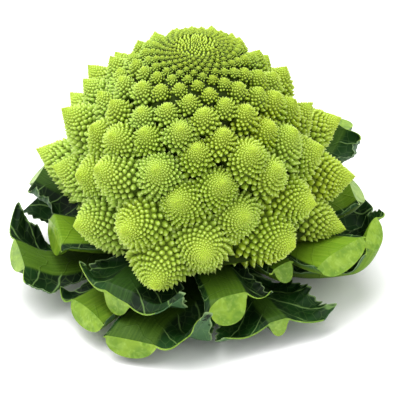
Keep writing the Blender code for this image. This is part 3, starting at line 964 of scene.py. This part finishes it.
# The greens of the leaves' skin. The blades are dark, with pale veins; the midribs are paler.
leafGreens = {
    "blade": (srgb(5, 26, 4), srgb(22, 60, 14)),
    "patchScale": 45.0,
    "patchRange": (0.35, 0.7),
    "underside": srgb(78, 116, 74),
    "undersideShare": 0.6,
    "vein": srgb(120, 156, 84),
    "veinShare": 0.6,
    "veinSlant": 0.75,        # how far a side vein runs outwards along the leaf for its way aside
    "veinPitch": 0.065,       # half the way from one side vein to the next, on the leaf's map
    "veinWidth": (0.007, 0.001),
    "veinWobble": 0.10,
    "wobbleScale": 60.0,
    "netScale": (22.0, 17.0, 1.0),
    "netWidth": (0.05, 0.01),
    "netShare": 0.2,
    "darkRib": (srgb(30, 58, 14), srgb(48, 80, 24)),
    "paleRib": (srgb(94, 132, 18), srgb(118, 150, 34)),
    "fibreScale": (90.0, 4.0, 1.0),
    "fibreRange": (0.3, 0.75),
    "base": srgb(40, 66, 12),
    "baseReach": (0.4, 0.80),
    "ribEdge": (1.12, 0.88),  # across a leaf, where the blade's green gives way to the midrib's
    "edge": srgb(140, 170, 110),
    "edgeAcross": (2.9, 2.99),
    "edgeShare": 0.7,
    "veinDepth": 0.0006,
    "fibreDepth": 0.0003,
}

# The greens of the cut faces: flesh with pale translucent streaks, which also serve as a painted
# highlight of its wet sheen, and pale cells
fleshGreens = {
    "flesh": (srgb(88, 126, 16), srgb(120, 152, 30)),
    "patchScale": 110.0,
    "patchRange": (0.35, 0.65),
    # pale streaks of the flesh, also a painted highlight for its wet sheen
    "sheenAndStreaks": srgb(162, 190, 90),
    "sheenAndStreaksShare": 0.45,
    "sheenAndStreaksScale": 210.0,
    "sheenAndStreaksRange": (0.40, 0.85),
    "cell": srgb(152, 182, 80),
    "cellShare": 0.3,
    "cellScale": 420.0,
    "cellRange": (0.35, 0.1),
    "grainScale": 1400.0,
    "patchDepth": 0.0010,
    "grainDepth": 0.0003,
}


# Side veins run out from the midrib at a slant, and finer ones join them in a net
def leafVeins(finish, spot, place):
    lateral, reach = finish.partsOf(spot)[:2]
    wobble = finish.noise(place, leafGreens["wobbleScale"], 2.0)
    slant = finish.times(finish.maths("ABSOLUTE", lateral), leafGreens["veinSlant"])
    slanted = finish.maths(
        "ADD", finish.maths("SUBTRACT", reach, slant), finish.times(wobble, leafGreens["veinWobble"]))
    lines = finish.maths("PINGPONG", slanted, leafGreens["veinPitch"])
    net = finish.add(
        "ShaderNodeTexVoronoi", {"feature": "DISTANCE_TO_EDGE"},
        Vector=finish.stretched(spot, leafGreens["netScale"]), Scale=1.0)
    netVeins = finish.ramp(net.outputs["Distance"], *leafGreens["netWidth"])
    sideVeins = finish.ramp(lines, *leafGreens["veinWidth"])
    return finish.maths("MAXIMUM", sideVeins, finish.times(netVeins, leafGreens["netShare"]))


def leafFinish():
    finish, greens = Finish("leafSkin"), leafGreens
    place = finish.objectPlace()
    spot = finish.leafLayer("leafMap")
    side, under = finish.partsOf(finish.leafLayer("leafSide"))[:2]
    pale = finish.partsOf(finish.leafLayer("leafTone"))[0]
    across = finish.maths("ABSOLUTE", side)
    patches = finish.noise(place, greens["patchScale"], 3.0)
    fibre = finish.noise(finish.stretched(spot, greens["fibreScale"]), 1.0, 3.0)
    veins = leafVeins(finish, spot, place)
    blade = finish.blend(finish.ramp(patches, *greens["patchRange"]), *greens["blade"])
    blade = finish.blend(finish.times(under, greens["undersideShare"]), blade, greens["underside"])
    blade = finish.blend(finish.times(veins, greens["veinShare"]), blade, greens["vein"])
    fibres = finish.ramp(fibre, *greens["fibreRange"])
    darkRib, paleRib = finish.blend(fibres, *greens["darkRib"]), finish.blend(fibres, *greens["paleRib"])
    rib = finish.blend(pale, darkRib, paleRib)
    rib = finish.blend(finish.ramp(finish.partsOf(spot)[1], *greens["baseReach"]), greens["base"], rib)
    tone = finish.blend(finish.ramp(across, *greens["ribEdge"]), blade, rib)
    edge = finish.ramp(across, *greens["edgeAcross"])
    tone = finish.blend(finish.times(edge, greens["edgeShare"]), tone, greens["edge"])
    relief = finish.bump(veins, 0.5, greens["veinDepth"], finish.bump(fibre, 0.15, greens["fibreDepth"]))
    return finish.shade(Base_Color=tone, Roughness=0.55, Specular_IOR_Level=0.18, Normal=relief)


def fleshFinish():
    finish, greens = Finish("cutMidrib"), fleshGreens
    place = finish.objectPlace()
    cells = finish.add("ShaderNodeTexVoronoi", {"feature": "F1"}, Vector=place, Scale=greens["cellScale"])
    patches = finish.noise(place, greens["patchScale"], 3.0, 0.6, 0.6)
    sheenAndStreaks = finish.ramp(finish.noise(place, greens["sheenAndStreaksScale"], 2.0, 0.5, 1.2), *greens["sheenAndStreaksRange"])
    grain = finish.noise(place, greens["grainScale"], 2.0)
    cell = finish.ramp(cells.outputs["Distance"], *greens["cellRange"])
    tone = finish.blend(finish.ramp(patches, *greens["patchRange"]), *greens["flesh"])
    tone = finish.blend(finish.times(sheenAndStreaks, greens["sheenAndStreaksShare"]), tone, greens["sheenAndStreaks"])
    tone = finish.blend(finish.times(cell, greens["cellShare"]), tone, greens["cell"])
    relief = finish.bump(grain, 0.3, greens["grainDepth"])
    relief = finish.bump(patches, 0.5, greens["patchDepth"], relief)
    return finish.shade(
        Base_Color=tone, Roughness=0.38, Specular_IOR_Level=0.35, Normal=relief,
        Subsurface_Weight=0.15, Subsurface_Scale=0.002, Subsurface_Radius=(0.7, 1.0, 0.3))


# All leaves, and the flesh of their cuts on the stalk as well
def makeLeaves():
    skin, flesh = leafFinish(), fleshFinish()
    for tier, leaves in enumerate(leafTiers):
        for place in range(len(leaves)):
            leaf = makeLeaf(tier, place, skin, flesh)
            print(leaf.name, len(leaf.data.polygons), "faces")
    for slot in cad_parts["stalk"].material_slots:
        slot.material = flesh


# Floor and light: the place, power and size of each lamp, and the point that all of them face
studio = {
    "floor": 6.0,
    "white": (srgb(250, 250, 250), srgb(255, 255, 255)),
    "lamps": (
        ((-0.9, -0.3, 1.7), 29.0, 1.7),
        ((1.2, -0.9, 1.2), 9.0, 1.6),
        ((-0.1, 0.5, 1.9), 37.0, 1.6),
    ),
    "aim": (0.0, 0.0, 0.05),
    "ambient": 0.66,
}


def makeStudio():
    deselect()
    bpy.ops.mesh.primitive_plane_add(size=studio["floor"], location=(0, 0, 0))
    floor = bpy.context.object
    floor.name = "floor"
    finish = Finish("paleFloor")
    clouds = finish.blend(finish.noise(finish.objectPlace(), 3.0), *studio["white"])
    floor.data.materials.append(finish.shade(Base_Color=clouds, Roughness=0.9))
    for place, power, size in studio["lamps"]:
        facing = (Vector(studio["aim"]) - Vector(place)).to_track_quat("-Z", "Y").to_euler()
        bpy.ops.object.light_add(type="AREA", location=place, rotation=facing)
        light = bpy.context.object.data
        light.energy = power
        light.size = size
    world = bpy.data.worlds.new("studioAir")
    bpy.context.scene.world = world
    world.use_nodes = True
    air = world.node_tree.nodes["Background"]
    air.inputs["Color"].default_value = (1, 1, 1, 1)
    air.inputs["Strength"].default_value = studio["ambient"]
    bpy.context.scene.view_settings.view_transform = "Standard"


makeCamera()
print("camera placed")
makeCurd()
print("curd made")
makeLeaves()
print("leaves made")
makeStudio()
print("studio set")
